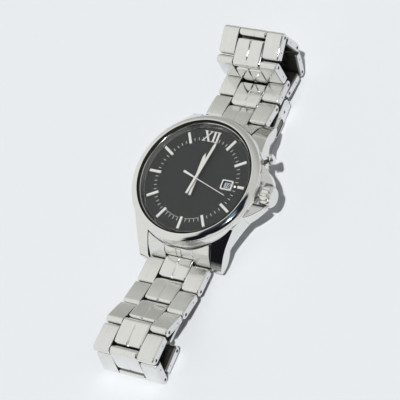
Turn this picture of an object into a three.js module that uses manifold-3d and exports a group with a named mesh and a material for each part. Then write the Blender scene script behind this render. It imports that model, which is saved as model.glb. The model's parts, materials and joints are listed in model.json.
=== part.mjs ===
// Analogue wristwatch with a three-row steel bracelet and a fold-over clasp, lying opened on a table.
// Units are millimetres and +Z is up. The head is modelled in its own frame, with the dial centre at
// the origin, 12 o'clock along +Y, 3 o'clock along +X and the crystal facing +Z, and is then tilted
// and lifted as a whole. The bracelet is a chain of pin joints in the YZ plane on each side.
import * as THREE from 'three';
import { mergeVertices } from 'three/addons/utils/BufferGeometryUtils.js';
import Module from 'manifold-3d';

const wasm = await Module();
wasm.setup();

// ---------------------------------------------------------------- driving dimensions
const CASE_RADIUS = 21;          // 42 mm case
const LUG_SPAN = 22;             // distance between the lugs
const LUG_GAP = 0.12;            // between a lug and the end link
const DIAL_RADIUS = 17.9;
const INNER_DIAL = 12.7;         // the dial steps down inside the hour track
const DATE_RADIUS = 10.6;        // middle of the date window
const CRYSTAL_RADIUS = 18.15;
const MOVEMENT_RADIUS = 15.4;
const DIAL_HEIGHT = 16.3;        // dial centre above the table
const HEAD_TILT = 7.3;           // degrees, 12 o'clock side raised
const STEM_HEIGHT = -3;          // crown and pusher axis below the dial
const PUSHER_ANGLE = 30;         // degrees from 3 o'clock towards 12
const GUARD_FACE = 3.6;          // from the crown's axis to a crown guard
const CROWN_RADIUS = 3.25;
const CROWN_START = 21.95;       // inner end of the crown along its axis
const FLUTES = 14;
const STEM_RADIUS = 0.5;
const PUSHER_START = 21.9;       // inner end of the pusher's travel along its axis
const SPRING_START = 18.2;
const END_PIN = [22.5, -9.1];    // bracelet's first pin in the head's YZ plane
const BAR = [20, -8.4];          // spring bar in the head's YZ plane
const BAR_RADIUS = 0.7;
const BAR_TIP = 0.38;            // radius of a spring bar's sprung ends

const PITCH = 9.4;               // pin to pin
const LINK_RADIUS = 1.5;         // half of the link thickness, and the round end
const LINK_GAP = 1.8;            // from a pin to the square end of the next piece
const CORNER = 0.9;              // rounding of a square end
const PIN_RADIUS = 0.5;
const PRESSED_PIN = 4.6;         // from a link's near pin to the pin that holds its three pieces
const BORE_RADIUS = 0.6;
const BORE_REACH = 9;            // half length of the tools that bore a centre piece
const DIMPLE = { radius: 0.55, depth: 0.5 };   // pin head sunk in an outer face
const CENTRE_HALF = 4.75;        // half width of a centre piece
const SIDE_GAP = 0.12;
const TWELVE_ANGLES = [350, 359, 90.5, 23.5, 287, 252, 171];   // degrees in the YZ plane
const SIX_ANGLES = [179, 166, 153.5, 180, 260, 3.5];
const halfWidth = (n) => 10.9 - 0.07 * n;                      // the bracelet tapers to the clasp

const COVER_HALF = 10.4;         // clasp cover
const COVER_ENDS = [3.9, 39.3];
const COVER_FLAT = 10;           // flat middle of the cover's outer face
const COVER_CURVE = 78;          // radius of its curved ends
const COVER_FLOOR = 1;
const COVER_WALL = 1.2;
const COVER_EAR = 1.1;           // radius of the ear around the cover's hinge pin
const BUTTON = { y0: 26.8, y1: 32.6, z0: 1.7, z1: 4 };
const BLADE_HALF = 7.4;
const BLADE_THICK = 1;
const BLADE_SAG = 0.25;          // bow of each blade
const BLADE_SLOT = 3.2;          // half width of the window in each blade
const BLADE_END = [3.3, 2.6];    // free end of the middle blade
const KNUCKLE_RADIUS = 1.3;
const KNUCKLE_ROOM = 1.6;        // from the fold pin to the end of a blade's plate
const FOLD_PIN = [-23, 1.45];    // hinge between the two blades
const COVER_PIN = [5.3, 2.6];    // hinge pin between the cover and the middle blade
const CLASP_BAR = [35.4, 3.1];   // spring bar between the bracelet and the cover

const FACETS = 48;               // around the large round parts

// ---------------------------------------------------------------- looks
const looks = {
  brushed: { color: 0xb9b8b2, roughness: 0.38, metalness: 1 },
  polished: { color: 0xd4d4d2, roughness: 0.12, metalness: 1 },
  brass: { color: 0xc2a765, roughness: 0.4, metalness: 1 },
  dial: { color: 0x2c2f30, roughness: 0.5, metalness: 0.2 },
  black: { color: 0x111213, roughness: 0.6, metalness: 0 },
  white: { color: 0xe8e8e4, roughness: 0.5, metalness: 0 },
  glass: { color: 0xf4f8fa, roughness: 0.02, metalness: 0, transparent: true, opacity: 0.15 },
};

// ---------------------------------------------------------------- shape helpers
const rad = THREE.MathUtils.degToRad;
const v2 = (x, y) => new THREE.Vector2(x, y);
// Turns a shape drawn in (y, z) and extruded along its own Z into one extruded along X.
const ALONG_X = new THREE.Matrix4().makeBasis(
  new THREE.Vector3(0, 1, 0), new THREE.Vector3(0, 0, 1), new THREE.Vector3(1, 0, 0));

function solid(geometry) {
  const g = geometry.clone();
  g.deleteAttribute('normal');
  g.deleteAttribute('uv');
  const m = mergeVertices(g, 1e-5);
  return new wasm.Manifold(new wasm.Mesh({
    numProp: 3,
    vertProperties: Float32Array.from(m.attributes.position.array),
    triVerts: Uint32Array.from(m.index.array),
  }));
}

function geometryOf(manifold) {
  const mesh = manifold.getMesh();
  const g = new THREE.BufferGeometry();
  g.setAttribute('position', new THREE.BufferAttribute(mesh.vertProperties, 3));
  g.setIndex(new THREE.BufferAttribute(mesh.triVerts, 1));
  g.computeVertexNormals();
  return g;
}

const cut = (body, ...tools) => tools.reduce((a, b) => a.subtract(b), body);
const join = (body, ...others) => others.reduce((a, b) => a.add(b), body);

function extruded(shape, depth, curveSegments = 8) {
  return new THREE.ExtrudeGeometry(shape, { depth, bevelEnabled: false, curveSegments });
}

// Solid of a (y, z) shape from x0 to x1.
function slab(shape, x0, x1, curveSegments) {
  return solid(extruded(shape, x1 - x0, curveSegments).applyMatrix4(ALONG_X).translate(x0, 0, 0));
}

// Solid of an (x, y) shape from z0 to z1.
function plate(shape, z0, z1, curveSegments) {
  return solid(extruded(shape, z1 - z0, curveSegments).translate(0, 0, z0));
}

// Solid of revolution about Z from a closed list of [radius, z].
function turned(profile, segments = 40) {
  const points = profile.map(([r, z]) => v2(r, z));
  if (profile[0][0] > 0) points.push(points[0].clone());
  return solid(new THREE.LatheGeometry(points, segments).rotateX(Math.PI / 2));
}

const disc = (r, z0, z1, segments) => turned([[0, z0], [r, z0], [r, z1], [0, z1]], segments);
const ring = (r0, r1, z0, z1, segments) =>
  turned([[r0, z0], [r1, z0], [r1, z1], [r0, z1]], segments);

// Rod along X from x0 to x1 at (y, z).
function rod(radius, x0, x1, y, z, segments = 12) {
  const g = new THREE.CylinderGeometry(radius, radius, x1 - x0, segments);
  return solid(g.rotateZ(Math.PI / 2).translate((x0 + x1) / 2, y, z));
}

function box(x0, x1, y0, y1, z0, z1) {
  const g = new THREE.BoxGeometry(x1 - x0, y1 - y0, z1 - z0);
  return solid(g.translate((x0 + x1) / 2, (y0 + y1) / 2, (z0 + z1) / 2));
}

function polygon(points) {
  return new THREE.Shape(points.map(([x, y]) => v2(x, y)));
}

const turnZ = (manifold, degrees) => manifold.rotate([0, 0, degrees]);
const mirrorX = (manifold) => manifold.mirror([1, 0, 0]);
const bothSides = (manifold) => join(manifold, mirrorX(manifold));

const nodes = new THREE.Group();
const head = new THREE.Group();
head.rotation.x = rad(HEAD_TILT);
head.position.z = DIAL_HEIGHT;
nodes.add(head);

function add(name, manifold, look, parent = nodes) {
  const mesh = new THREE.Mesh(geometryOf(manifold), new THREE.MeshStandardMaterial(looks[look]));
  mesh.name = name;
  parent.add(mesh);
  return mesh;
}

// ---------------------------------------------------------------- case
// Side view (y, z) of a lug, which sweeps down from the case's shoulder to its tip.
function lugProfile() {
  const s = new THREE.Shape();
  s.moveTo(3, 0.24);
  s.lineTo(12.5, -0.1);
  s.quadraticCurveTo(21.6, -1.6, 24.3, -8);
  s.quadraticCurveTo(24.8, -10.2, 22.7, -10.35);
  s.quadraticCurveTo(19.8, -9.8, 17.6, -6.6);
  s.lineTo(3, -6.4);
  return s;
}

// Top view (x, y) of a lug, which leaves the round case along its outline and narrows to the tip.
function lugPlan() {
  const inner = LUG_SPAN / 2 + LUG_GAP;
  const s = new THREE.Shape();
  s.moveTo(inner, 4);
  s.lineTo(20.6, 4);
  s.lineTo(20.2, 6);
  s.quadraticCurveTo(16, 14.5, 14.2, 25);
  s.lineTo(inner, 25);
  return s;
}

function crownGuards() {
  const s = new THREE.Shape();
  s.moveTo(17, 8.8);
  s.lineTo(19.5, 8.1);
  s.quadraticCurveTo(22.4, 6.5, 24.2, 4.1);
  s.quadraticCurveTo(24.5, 3.7, 24.1, GUARD_FACE);
  s.lineTo(17, GUARD_FACE);
  const rounded = turned([[0, -5.5], [22.6, -5.5], [24.6, -4.3], [24.6, -2], [22.4, -0.6], [0, -0.6]]);
  const one = plate(s, -6, 0, 6).intersect(rounded);
  return join(one, one.mirror([0, 1, 0]));
}

function caseMiddle() {
  const band = turned([[0, -6.6], [18.4, -6.6], [20.2, -5.2], [CASE_RADIUS, -3.4],
    [CASE_RADIUS + 0.1, -2.2], [20.7, -0.3], [20.2, 0.3], [0, 0.3]], FACETS);
  const lug = slab(lugProfile(), LUG_SPAN / 2, CASE_RADIUS, 6).intersect(plate(lugPlan(), -12, 2, 10));
  const pair = bothSides(lug);
  const lugs = join(pair, pair.mirror([0, 1, 0]));
  const cavity = join(disc(18.5, -0.5, 1, FACETS), disc(17, -4.7, -0.4, FACETS),
    disc(16.7, -7, -4.6, FACETS));
  const stemHole = rod(1.4, 10, 24, 0, STEM_HEIGHT, 16);
  const crownRoom = rod(3.55, 21.3, 26, 0, STEM_HEIGHT, 24);
  const pusherHole = turnZ(rod(1.15, 10, 24, 0, STEM_HEIGHT, 14), PUSHER_ANGLE);
  const barHoles = [1, -1].map((side) => rod(0.5, -13.2, 13.2, side * BAR[0], BAR[1], 16));
  return cut(join(band, lugs, crownGuards()), cavity, stemHole, crownRoom, pusherHole, ...barHoles);
}

function bezel() {
  return turned([[18.7, 0.4], [20.5, 0.4], [CASE_RADIUS, 0.75], [CASE_RADIUS, 1.05], [20.8, 1.6],
    [20.3, 2.1], [19.6, 2.45], [18.95, 2.5], [18.7, 2.3]], FACETS);
}

function caseBack() {
  const body = turned([[0, -8.4], [14.8, -8.4], [17.6, -7.7], [17.6, -6.7], [16.5, -6.7],
    [16.5, -5], [15.4, -5], [15.4, -7.5], [0, -7.5]]);
  const groove = ring(16.75, 17.3, -7.2, -6.6);
  const notches = [0, 60, 120, 180, 240, 300].map((a) =>
    turnZ(box(15.6, 18.2, -1.1, 1.1, -8.6, -7.9), a + 30));
  return cut(body, groove, ...notches);
}

function buildCase() {
  add('case_middle', caseMiddle(), 'brushed', head);
  add('bezel', bezel(), 'polished', head);
  add('crystal', turned([[0, 1.85], [CRYSTAL_RADIUS, 1.85], [CRYSTAL_RADIUS, 2.55], [17.9, 2.8],
    [0, 2.8]], FACETS), 'glass', head);
  add('crystal_gasket', ring(18.22, 18.6, 1.5, 2.45), 'black', head);
  add('rehaut_ring', turned([[17.1, 0.08], [18.4, 0.08], [18.4, 1.4], [18.0, 1.4]], FACETS),
    'black', head);
  add('case_back', caseBack(), 'polished', head);
  add('case_back_gasket', ring(16.8, 17.25, -7.15, -6.68), 'black', head);
}

// ---------------------------------------------------------------- dial and movement
const CELL_CENTRE = [-7.5, -6, 0];

// Rectangle of length along the dial's radius, centred at the radius, turned to the clock angle.
function applied(inner, outer, width, height, hourAngle) {
  return turnZ(box(-width / 2, width / 2, inner, outer, -0.1, height), -hourAngle);
}

function dial() {
  const base = cut(disc(DIAL_RADIUS, -0.4, 0, FACETS), disc(INNER_DIAL, -0.12, 0.5, FACETS));
  const window = box(DATE_RADIUS - 1.2, DATE_RADIUS + 1.2, -0.95, 0.95, -1, 1);
  const frame = cut(box(DATE_RADIUS - 1.9, DATE_RADIUS + 1.9, -1.5, 1.5, -0.2, 0.22), window);
  const hours = [1, 2, 4, 5, 6, 7, 8, 9, 10, 11];
  const batons = hours.map((h) => applied(12.75, 16.5, 0.8, 0.3, h * 30));
  const roman = [-2.2, -0.75, 1.05, 2.1].map((x, i) => box(x - 0.3, x + 0.3, 12.8, 15.6, -0.1, 0.25));
  const blank = cut(join(base, frame), window, disc(0.95, -1, 1, 24));
  return join(blank, applied(14.6, 16.5, 0.8, 0.3, 90), ...batons, ...roman);
}

function movementPlate() {
  const body = disc(MOVEMENT_RADIUS, -3.5, -0.6);
  const dateTrack = ring(8.4, 12.8, -1.1, -0.5);
  const arbor = disc(0.85, -2.2, 0, 24);
  const cellPocket = disc(4.95, -3.6, -1.3, 32).translate(CELL_CENTRE);
  const coilPocket = box(-9.2, -0.8, 6.9, 10.6, -3.6, -1.5);
  const stemHole = rod(0.75, 8, 17, 0, STEM_HEIGHT, 16);
  const rotorPost = disc(0.6, -5.5, -3.4, 20);
  return join(cut(body, dateTrack, arbor, cellPocket, coilPocket, stemHole), rotorPost);
}

function movementHolder() {
  const body = ring(MOVEMENT_RADIUS + 0.1, 16.9, -4.5, -0.6);
  const stemHole = rod(0.85, 14, 18, 0, STEM_HEIGHT, 16);
  const pusherHole = turnZ(rod(1.1, 14, 18, 0, STEM_HEIGHT, 16), PUSHER_ANGLE);
  return cut(body, stemHole, pusherHole);
}

// Angles are clockwise from 12. The pipe runs down to the movement, and the top hand has no bore.
const HANDS = {
  hour_hand: {
    length: 9, tail: 5.6, width: 1.3, tailWidth: 1.1, z0: 0.45, z1: 0.65, hub: 1.1, pipe: 0.75,
    bore: 0.5, angle: 1.7,
  },
  minute_hand: {
    length: 13.1, tail: 5.5, width: 1.1, tailWidth: 1, z0: 0.85, z1: 1.03, hub: 0.95, pipe: 0.42,
    bore: 0.25, angle: 11,
  },
  seconds_hand: {
    length: 12.3, tail: 4.65, width: 0.22, tailWidth: 0.9, z0: 1.2, z1: 1.32, hub: 0.6, pipe: 0.17,
    bore: 0, angle: 107.8,
  },
};

function hand({ length, tail, width, tailWidth, z0, z1, hub, pipe, bore, angle }) {
  const outline = polygon([[-tailWidth / 2, -tail], [tailWidth / 2, -tail], [width / 2, 0],
    [width / 2, length - width], [0, length], [-width / 2, length - width], [-width / 2, 0]]);
  const blade = join(plate(outline, z0, z1), disc(hub, z0, z1, 24), disc(pipe, -0.9, z1, 24));
  return turnZ(bore ? cut(blade, disc(bore, -1.5, 3, 24)) : blade, -angle);
}

function oscillatingWeight() {
  const outer = 14.5;
  const hubRadius = 2.2;
  const half = new THREE.Shape();
  half.absarc(0, 0, outer, Math.PI, 2 * Math.PI, false);
  half.lineTo(hubRadius, 0);
  half.absarc(0, 0, hubRadius, 0, Math.PI, false);
  const web = plate(half, -4.6, -4.1, 8);
  const rim = new THREE.Shape();
  rim.absarc(0, 0, outer, 1.05 * Math.PI, 1.95 * Math.PI, false);
  rim.absarc(0, 0, 11.2, 1.95 * Math.PI, 1.05 * Math.PI, true);
  const hub = disc(hubRadius, -5.1, -3.7, 24);
  return cut(join(web, plate(rim, -5.6, -4.2, 8), hub), disc(0.75, -7, -3, 24));
}

function buildMovement() {
  add('dial', dial(), 'dial', head);
  add('date_ring', ring(8.6, 12.6, -1, -0.5), 'white', head);
  add('movement_plate', movementPlate(), 'brass', head);
  add('movement_holder', movementHolder(), 'black', head);
  add('power_cell', disc(4.75, -3.45, -1.4, 32).translate(CELL_CENTRE), 'polished', head);
  add('drive_coil', box(-9, -1, 7.1, 10.4, -3.45, -1.6), 'brass', head);
  add('oscillating_weight', oscillatingWeight(), 'brushed', head);
  for (const [name, sizes] of Object.entries(HANDS)) add(name, hand(sizes), 'polished', head);
}

// ---------------------------------------------------------------- crown and pusher
function crown() {
  const steps = FLUTES * 6;
  const fluteDepth = 0.34;
  const outline = [];
  for (let i = 0; i < steps; i += 1) {
    const a = 2 * Math.PI * i / steps;
    const r = CROWN_RADIUS - fluteDepth * (0.5 + 0.5 * Math.cos(FLUTES * a)) ** 2;
    outline.push([r * Math.cos(a), r * Math.sin(a)]);
  }
  const fluted = plate(polygon(outline), 0, 4.1);
  const envelope = turned([[0, 0], [3, 0], [CROWN_RADIUS + 0.02, 0.3], [CROWN_RADIUS + 0.02, 2.6],
    [3, 3.2], [2.5, 3.65], [1.4, 3.95], [0, 4.05]], 36);
  const recess = disc(1.75, -1, 1.6, 20);
  const bore = disc(0.62, 0, 2.6, 20);
  const upright = cut(fluted.intersect(envelope), recess, bore);
  return upright.rotate([0, 90, 0]).translate([CROWN_START, 0, STEM_HEIGHT]);
}

function crownTube() {
  return cut(rod(1.3, 18.9, 22.6, 0, STEM_HEIGHT, 24), rod(0.75, 18, 24, 0, STEM_HEIGHT, 20));
}

function pusher() {
  const cap = turned([[0, 0.2], [1.5, 0.2], [1.5, 1.7], [1.3, 2], [0, 2.05]], 28);
  const groove = ring(1.32, 2, 0.75, 1, 28);
  const shaft = disc(0.5, -4.4, 0.4, 20);
  const retainer = disc(0.9, -4.6, -4.1, 20);
  return join(cut(cap, groove), shaft, retainer).rotate([0, 90, 0]);
}

// Open compression spring about +X, as wide as the pusher's shaft allows.
function pusherSpring() {
  const turns = 3;
  const length = 1.5;
  const radius = 0.78;
  const steps = turns * 10;
  const points = [];
  for (let i = 0; i <= steps; i += 1) {
    const a = 2 * Math.PI * turns * i / steps;
    points.push(new THREE.Vector3(length * i / steps, radius * Math.cos(a), radius * Math.sin(a)));
  }
  const wire = new THREE.Shape().absarc(0, 0, 0.11, 0, 2 * Math.PI, false);
  return solid(new THREE.ExtrudeGeometry(wire, {
    steps, curveSegments: 3, bevelEnabled: false, extrudePath: new THREE.CatmullRomCurve3(points),
  }));
}

function buildControls() {
  add('crown_tube', crownTube(), 'polished', head);
  add('winding_stem', join(rod(STEM_RADIUS, 10.4, 24.3, 0, STEM_HEIGHT, 16),
    rod(0.68, 12.2, 12.9, 0, STEM_HEIGHT, 16)), 'polished', head);
  add('crown', crown(), 'polished', head);
  const onPusherAxis = (piece, start) =>
    turnZ(piece.translate([start, 0, STEM_HEIGHT]), PUSHER_ANGLE);
  add('pusher', onPusherAxis(pusher(), PUSHER_START), 'polished', head);
  add('pusher_spring', onPusherAxis(pusherSpring(), SPRING_START), 'polished', head);
}

// ---------------------------------------------------------------- end links and spring bars
function endLinkShape(far) {
  const [y, z] = END_PIN;
  const s = new THREE.Shape();
  s.moveTo(16.8, -1.5);
  s.quadraticCurveTo(20.6, -2.6, 22.3, -5.2);
  if (far) {
    s.lineTo(y + 1.35, z + 0.65);
    s.absarc(y, z, LINK_RADIUS, rad(26), rad(-80), true);
  } else {
    s.lineTo(y + 0.2, z + 1.9);
    s.lineTo(y - 1.8, z + 0.9);
    s.lineTo(y - 1.8, z - 1.2);
  }
  s.lineTo(18.2, -10.2);
  s.lineTo(16.8, -8.2);
  return s;
}

function endLink(side) {
  const half = LUG_SPAN / 2;
  const inner = CENTRE_HALF + SIDE_GAP;
  const wing = slab(endLinkShape(true), inner, half);
  const middle = slab(endLinkShape(false), -inner - 0.05, inner + 0.05);
  const body = join(wing, mirrorX(wing), middle);
  const caseRoom = disc(CASE_RADIUS + 0.35, -12, 1, 48);
  const pin = rod(PIN_RADIUS, -inner - 1, inner + 1, END_PIN[0], END_PIN[1]);
  const dimples = bothSides(rod(DIMPLE.radius, half - DIMPLE.depth, half + 1, ...END_PIN, 12));
  const barHole = rod(0.82, -half - 1, half + 1, BAR[0], BAR[1]);
  const lines = [5.2, 0.7].map((x) => bothSides(box(x, x + 0.15, 10, 30, -20, 0)));
  const top = slab(lineTopShape(), -half, half);
  const grooves = lines.map((line) => line.intersect(top));
  const linked = join(cut(body, caseRoom, dimples, barHole, ...grooves), pin);
  return side > 0 ? linked : linked.rotate([0, 0, 180]);
}

// Thin skin along the end link's top surface, which the engraved lines cut.
function lineTopShape() {
  const s = new THREE.Shape();
  s.moveTo(16, 0);
  s.lineTo(16, -1.55);
  s.lineTo(16.8, -1.65);
  s.quadraticCurveTo(20.5, -2.75, 22.15, -5.3);
  s.lineTo(22.5, -6.2);
  s.lineTo(25, -6.2);
  s.lineTo(25, 0);
  return s;
}

function springBar(side) {
  const [y, z] = [side * BAR[0], BAR[1]];
  return join(rod(BAR_RADIUS, -10.5, 10.5, y, z), rod(BAR_TIP, -12.6, 12.6, y, z, 12));
}

function buildEnds() {
  for (const [tag, side] of [['12', 1], ['6', -1]]) {
    add(`end_link_${tag}`, endLink(side), 'brushed', head);
    add(`lug_spring_bar_${tag}`, springBar(side), 'polished', head);
  }
}

// ---------------------------------------------------------------- bracelet
// Side outline with its round end about the origin, running along +u to a square end.
function linkShape(length) {
  const r = LINK_RADIUS;
  const s = new THREE.Shape();
  s.moveTo(0, -r);
  s.lineTo(length - CORNER, -r);
  s.quadraticCurveTo(length, -r, length, -r + CORNER);
  s.lineTo(length, r - CORNER);
  s.quadraticCurveTo(length, r, length - CORNER, r);
  s.lineTo(0, r);
  s.absarc(0, 0, r, Math.PI / 2, 1.5 * Math.PI, false);
  return s;
}

// Both pieces of link n are made with the near pin at the origin and the far pin along +Y.
function linkCentre() {
  const body = slab(linkShape(PITCH - LINK_GAP), -CENTRE_HALF, CENTRE_HALF, 3);
  const bores = [0, PRESSED_PIN].map((y) => rod(BORE_RADIUS, -BORE_REACH, BORE_REACH, y, 0, 12));
  return cut(body, ...bores);
}

function linkOuter(half) {
  const inner = CENTRE_HALF + SIDE_GAP;
  const block = slab(linkShape(PITCH - LINK_GAP), inner, half, 3)
    .rotate([180, 0, 0]).translate([0, PITCH, 0]);
  const dimple = rod(DIMPLE.radius, half - DIMPLE.depth, half + 1, PITCH, 0, 8);
  const pins = [PITCH, PRESSED_PIN].map((y) => rod(PIN_RADIUS, -inner - 1, inner + 1, y, 0, 10));
  return join(bothSides(cut(block, dimple)), ...pins);
}

// Pins of a chain that starts at [y, z] and follows the angles.
function chainPins(start, angles) {
  const pins = [start];
  for (const angle of angles) {
    const [y, z] = pins[pins.length - 1];
    pins.push([y + PITCH * Math.cos(rad(angle)), z + PITCH * Math.sin(rad(angle))]);
  }
  return pins;
}

function headToTable([y, z]) {
  const [c, s] = [Math.cos(rad(HEAD_TILT)), Math.sin(rad(HEAD_TILT))];
  return [y * c - z * s, y * s + z * c + DIAL_HEIGHT];
}

const twelvePins = chainPins(headToTable(END_PIN), TWELVE_ANGLES);
const sixPins = chainPins(headToTable([-END_PIN[0], END_PIN[1]]), SIX_ANGLES);

function buildBracelet() {
  for (const [tag, pins, angles] of [['12', twelvePins, TWELVE_ANGLES], ['6', sixPins, SIX_ANGLES]]) {
    angles.forEach((angle, i) => {
      const outer = add(`link_${tag}_${i + 1}_outer`, linkOuter(halfWidth(i + 1)), 'brushed');
      const centre = add(`link_${tag}_${i + 1}_centre`, linkCentre(), 'polished');
      for (const piece of [outer, centre]) {
        piece.position.set(0, pins[i][0], pins[i][1]);
        piece.rotation.x = rad(angle);
      }
    });
  }
}

// ---------------------------------------------------------------- clasp
// Height of the cover's outer face at y: flat in the middle and curved up towards both ends.
function coverRise(y) {
  const middle = (COVER_ENDS[0] + COVER_ENDS[1]) / 2;
  const past = Math.max(0, Math.abs(y - middle) - COVER_FLAT / 2);
  return COVER_CURVE - Math.sqrt(COVER_CURVE ** 2 - past ** 2);
}

// Closed (y, z) outline between two height functions.
function between(y0, y1, low, high, steps = 12) {
  const ys = Array.from({ length: steps + 1 }, (_, i) => y0 + (y1 - y0) * i / steps);
  return polygon([...ys.map((y) => [y, low(y)]), ...ys.reverse().map((y) => [y, high(y)])]);
}

function wallTop(y) {
  const ear = THREE.MathUtils.smoothstep(y, 25, 33);
  return coverRise(y) + 3.9 + 1.1 * ear;
}

function claspCover() {
  const [y0, y1] = COVER_ENDS;
  const floor = slab(between(y0, y1, coverRise, (y) => coverRise(y) + COVER_FLOOR),
    -COVER_HALF, COVER_HALF);
  const wall = slab(between(y0, y1, coverRise, wallTop), COVER_HALF - COVER_WALL, COVER_HALF);
  const earShape = new THREE.Shape();
  earShape.moveTo(COVER_PIN[0] - COVER_EAR, 0.9);
  earShape.lineTo(COVER_PIN[0] + 2.2, 0.9);
  earShape.lineTo(COVER_PIN[0] + COVER_EAR, COVER_PIN[1]);
  earShape.absarc(...COVER_PIN, COVER_EAR, 0, Math.PI, false);
  const ear = slab(earShape, 7.6, COVER_HALF - COVER_WALL + 0.2);
  const body = join(floor, bothSides(join(wall, ear)));
  const pinHole = rod(0.62, -COVER_HALF - 1, COVER_HALF + 1, ...COVER_PIN);
  const barHoles = [0, -2, 2].map((step) =>
    rod(0.5, -COVER_HALF - 1, COVER_HALF + 1, CLASP_BAR[0] + step, CLASP_BAR[1] + 0.12 * step));
  const buttonHoles = bothSides(buttonBody(0.12, COVER_HALF - 2, COVER_HALF + 2));
  const tongueRoom = box(-CENTRE_HALF - 0.3, CENTRE_HALF + 0.3, y1 - 1.6, y1 + 1, 0.5, 9);
  return cut(body, pinHole, ...barHoles, buttonHoles, tongueRoom);
}

function buttonBody(grow, x0, x1) {
  const { y0, y1, z0, z1 } = BUTTON;
  const r = (z1 - z0) / 2 + grow;
  const zc = (z0 + z1) / 2;
  const s = new THREE.Shape();
  s.moveTo(y0 - grow + r, zc - r);
  s.lineTo(y1 + grow - r, zc - r);
  s.absarc(y1 + grow - r, zc, r, -Math.PI / 2, Math.PI / 2, false);
  s.lineTo(y0 - grow + r, zc + r);
  s.absarc(y0 - grow + r, zc, r, Math.PI / 2, 1.5 * Math.PI, false);
  return slab(s, x0, x1, 5);
}

function claspButton() {
  const wall = COVER_HALF - COVER_WALL;
  const flange = buttonBody(0.45, wall - 0.75, wall - 0.15);
  return join(buttonBody(0, wall - 0.5, COVER_HALF + 0.55), flange);
}

// Short centre-only link from the last bracelet pin to the clasp's spring bar.
function claspTongue() {
  const [y0, z0] = twelvePins[twelvePins.length - 1];
  const [y1, z1] = CLASP_BAR;
  const length = Math.hypot(y1 - y0, z1 - z0);
  const eye = 1.2;
  const s = new THREE.Shape();
  s.moveTo(0, -LINK_RADIUS);
  s.lineTo(length, -eye);
  s.absarc(length, 0, eye, -Math.PI / 2, Math.PI / 2, false);
  s.lineTo(0, LINK_RADIUS);
  s.absarc(0, 0, LINK_RADIUS, Math.PI / 2, 1.5 * Math.PI, false);
  const body = slab(s, -CENTRE_HALF, CENTRE_HALF, 4);
  const bored = cut(body, rod(BORE_RADIUS, -BORE_REACH, BORE_REACH, 0, 0),
    rod(0.85, -BORE_REACH, BORE_REACH, length, 0));
  const mesh = add('clasp_end_piece', bored, 'polished');
  mesh.position.set(0, y0, z0);
  mesh.rotation.x = Math.atan2(z1 - z0, y1 - y0);
}

// Thin curved plate between two pins; lift is the height of its middle above the straight line.
function bladePlate(from, to, lift, half) {
  const length = to[0] - from[0];
  const line = (y) => {
    const t = (y - from[0]) / length;
    return from[1] + (to[1] - from[1]) * t + 4 * lift * t * (1 - t) + 0.12;
  };
  const low = (y) => line(y);
  const high = (y) => line(y) + BLADE_THICK;
  return { low, high, make: (y0, y1) => slab(between(y0, y1, low, high), -half, half) };
}

function innerBlade() {
  const start = sixPins[sixPins.length - 1];
  const plateOf = bladePlate(start, FOLD_PIN, -BLADE_SAG, BLADE_HALF);
  const strip = plateOf.make(start[0] + LINK_GAP + 0.2, FOLD_PIN[0] - KNUCKLE_ROOM);
  const hookEnd = slab(knuckleShape(start, 1), -CENTRE_HALF, CENTRE_HALF, 6);
  const foldEnd = slab(knuckleShape(FOLD_PIN, -1), -3, 3, 6);
  const slot = box(-BLADE_SLOT, BLADE_SLOT, start[0] + 8, FOLD_PIN[0] - 7, -5, 9);
  return cut(join(cut(strip, slot), hookEnd, foldEnd),
    rod(BORE_RADIUS, -20, 20, ...start), rod(BORE_RADIUS, -20, 20, ...FOLD_PIN));
}

// Hinge eye around a pin with a tab that runs towards +Y or -Y under the plate.
function knuckleShape([y, z], direction) {
  const r = KNUCKLE_RADIUS;
  const tab = y + direction * 2 * r;
  const s = new THREE.Shape();
  const a = direction > 0 ? Math.PI / 2 : -Math.PI / 2;
  s.moveTo(y, z + direction * r);
  s.absarc(y, z, r, a, a + Math.PI, false);
  s.lineTo(tab, direction > 0 ? z - 0.4 : z + r - 0.06);
  s.lineTo(tab, direction > 0 ? z + r - 0.1 : z - 0.4);
  return s;
}

function middleBlade() {
  const end = BLADE_END[0];
  const plateOf = bladePlate(FOLD_PIN, BLADE_END, BLADE_SAG, BLADE_HALF);
  const strip = plateOf.make(FOLD_PIN[0] + KNUCKLE_ROOM, end);
  const knuckle = slab(knuckleShape(FOLD_PIN, 1), 3.15, BLADE_HALF, 6);
  const slot = box(-BLADE_SLOT, BLADE_SLOT, FOLD_PIN[0] + 7, -4, -5, 9);
  const tip = slab(between(end - 1.9, end, () => 1.7, plateOf.high, 2),
    -BLADE_HALF + 1, BLADE_HALF - 1);
  const pin = rod(PIN_RADIUS, -BLADE_HALF + 0.3, BLADE_HALF - 0.3, ...FOLD_PIN);
  return join(cut(strip, slot), bothSides(knuckle), tip, pin);
}

function buildClasp() {
  add('clasp_cover', claspCover(), 'brushed');
  add('clasp_spring_bar', join(rod(BAR_RADIUS, -8.9, 8.9, ...CLASP_BAR),
    rod(BAR_TIP, -10.2, 10.2, ...CLASP_BAR, 12)), 'polished');
  add('clasp_hinge_pin', rod(PIN_RADIUS, -10.2, 10.2, ...COVER_PIN), 'polished');
  add('clasp_button_right', claspButton(), 'polished');
  add('clasp_button_left', mirrorX(claspButton()), 'polished');
  add('clasp_inner_blade', innerBlade(), 'brushed');
  add('clasp_middle_blade', middleBlade(), 'brushed');
  claspTongue();
}

buildCase();
buildMovement();
buildControls();
buildEnds();
buildBracelet();
buildClasp();

// The origin is the middle of the assembly's footprint, on the table.
nodes.updateMatrixWorld(true);
const bounds = new THREE.Box3().setFromObject(nodes, true);
const middle = bounds.getCenter(new THREE.Vector3());
nodes.position.set(-middle.x, -middle.y, -bounds.min.z);

export default nodes;
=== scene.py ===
import json
import math

import bmesh
import bpy
from mathutils import Matrix, Vector


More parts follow.
